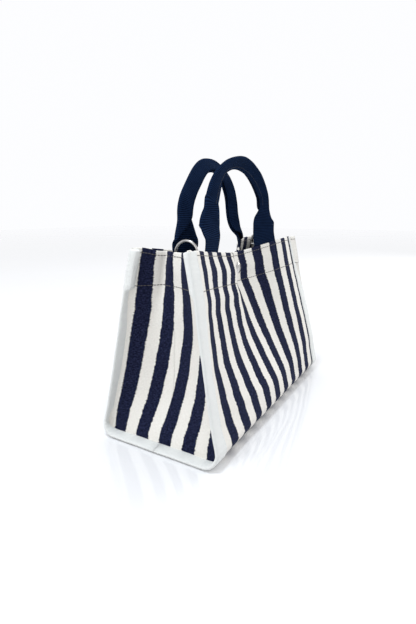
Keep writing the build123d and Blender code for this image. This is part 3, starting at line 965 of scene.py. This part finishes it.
CAP = [(0.0, 1.58), (2.4, 1.52), (4.4, 1.34), (5.8, 1.05), (6.7, 0.70), (7.2, 0.36), (7.42, 0.12),
       (7.35, 0.02), (0.0, 0.0)]
SOCKET = [(0.0, 0.0), (6.0, 0.0), (6.0, 0.5), (5.6, 0.9), (5.0, 1.2), (4.8, 2.2), (4.55, 2.4), (4.1, 2.4),
          (3.85, 2.2),
          (3.8, 0.6), (0.0, 0.45)]
BALL = [(0.0, 3.08), (1.4, 3.0), (2.15, 2.6), (2.38, 2.1), (2.2, 1.6), (2.1, 1.25), (2.6, 1.15), (5.2, 1.1),
        (5.8, 0.85),
        (5.95, 0.4), (5.9, 0.0), (0.0, 0.0)]
low, high = box_of("stud_cap")
stud_u = (low[0] + high[0]) / 2 / (1 - TAPER * 0.82)
stud_z = (low[2] + high[2]) / 2
stud_y = float(side(stud_u, (stud_z - BASE_Z) / (top_of(stud_u) - BASE_Z))[1])
for name, node, profile, which, inside in (
        ("press_stud_cap", "stud_cap", CAP, "front_side", False),
        ("press_stud_post", "stud_post", CAP, "back_side", False),
        ("press_stud_socket", "stud_socket", SOCKET, "front_side", True),
        ("press_stud_ball", "stud_ball", BALL, "back_side", True)):
    low, high = box_of(node)
    hand = -1 if which == "front_side" else 1
    y = stud_y - 0.15 if not inside else stud_y + 2 * THICK + 0.3
    seat = ((low[0] + high[0]) / 2, -hand * y, stud_z)
    ob = lathe(name, profile, seat, hand if not inside else -hand)
    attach(ob, which)
    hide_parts(node)

for node in ("left_d_ring", "right_d_ring"):
    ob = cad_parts[node]
    ob.data.materials.clear()
    ob.data.materials.append(METAL)


def ring_tab(name, spin):
    """Folded tape loop that holds a ring's bar, sewn to the gusset's hem."""
    xr, yr, zr = -106.5, -5.0, 189.5
    inner_x = [-(gusset_row(height, 86)[0][:, 0].min()) + 1.9 for height in (160, 182)]

    def face(z):
        return float(np.interp(z, [160, 182], inner_x))

    path = [(face(161) + 0.5, 161.0), (face(170) + 0.5, 170.0), (face(181) + 0.5, 181.0)]
    for a in np.linspace(math.radians(200), math.radians(-65), 12):
        path.append((xr + 2.35 * math.cos(a), zr + 2.35 * math.sin(a)))
    path += [(face(181) + 1.6, 181.0), (face(170) + 1.45, 170.0), (face(161) + 1.45, 161.0)]
    path = catmull(path, 3)
    d = unit(np.gradient(path, axis=0))
    nor = np.stack([-d[:, 1], d[:, 0]], -1)
    widths = np.linspace(-9.0, 9.0, 13)
    grid = np.array([[(p[0], yr + w, p[1]) for w in widths] for p in path])
    s = np.concatenate([[0], np.cumsum(np.linalg.norm(np.diff(path, axis=0), axis=1))])
    uv = np.stack(np.broadcast_arrays(widths[None], s[:, None]), -1)
    ob = sheet_mesh(name, grid * spin, uv, 0.42, flip=False)
    dress(ob, TAPE)
    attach(ob, "bag_base")
    return ob


left_tab = ring_tab("left_ring_loop", np.ones(3))
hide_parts("left_ring_tab")
right_tab = ring_tab("right_ring_loop", np.array([-1.0, -1.0, 1.0]))
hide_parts("right_ring_tab")

# ---------------------------------------------------------------- gusset halves: which side each one follows
for hand, halves in (("left", left_gusset), ("right", right_gusset)):
    for half_panel in halves:
        which = "front" if "front" in half_panel.name else "back"

# ---------------------------------------------------------------- floor, light and camera
bpy.ops.mesh.primitive_plane_add(size=8.0, location=(1.5, 1.0, -0.0004))
floor = bpy.context.object
floor.name = "floor"
mat, nt, bsdf = node_material("floor")
k = Nodes(nt)
k.put(bsdf.inputs["Base Color"], k.mix(k.noise(k.obj(), 3.0), (0.80, 0.805, 0.82, 1), (0.82, 0.82, 0.83, 1)))
bsdf.inputs["Roughness"].default_value = 0.07
bsdf.inputs["Specular IOR Level"].default_value = 0.7
floor.data.materials.append(mat)

bpy.context.scene.view_settings.view_transform = "Standard"
world = bpy.data.worlds.new("studio")
bpy.context.scene.world = world
world.use_nodes = True
world.node_tree.nodes["Background"].inputs[0].default_value = (0.98, 0.985, 1.0, 1)
world.node_tree.nodes["Background"].inputs[1].default_value = 1.0


def area_light(name, place, aim, size, power, colour=(1, 1, 1)):
    data = bpy.data.lights.new(name, "AREA")
    data.shape, data.size, data.energy, data.color = "SQUARE", size, power, colour
    ob = bpy.data.objects.new(name, data)
    bpy.context.scene.collection.objects.link(ob)
    ob.location = place
    ob.rotation_euler = (Vector(aim) - Vector(place)).to_track_quat("-Z", "Y").to_euler()
    return ob


area_light("key", (1.7, -0.75, 0.75), (0, 0, 0.10), 0.7, 13, (1.0, 0.99, 0.98))
area_light("gusset_fill", (-1.3, 0.45, 0.5), (-0.15, 0, 0.12), 0.5, 1.9, (1.0, 1.0, 1.0))
area_light("top", (-0.45, 0.15, 1.5), (0, 0, 0.25), 0.35, 10, (0.86, 0.93, 1.0))

cam_data = bpy.data.cameras.new("camera")
cam = bpy.data.objects.new("camera", cam_data)
bpy.context.scene.collection.objects.link(cam)
cam_data.lens, cam_data.sensor_width = 24.39, 36.0
cam_data.clip_start = 0.01
cam.location = (-0.4757, -0.2481, 0.2373)
cam.rotation_euler = Vector((0.8585, 0.5047, -0.0899)).to_track_quat("-Z", "Y").to_euler()
cam_data.shift_y = -0.0987
bpy.context.scene.camera = cam
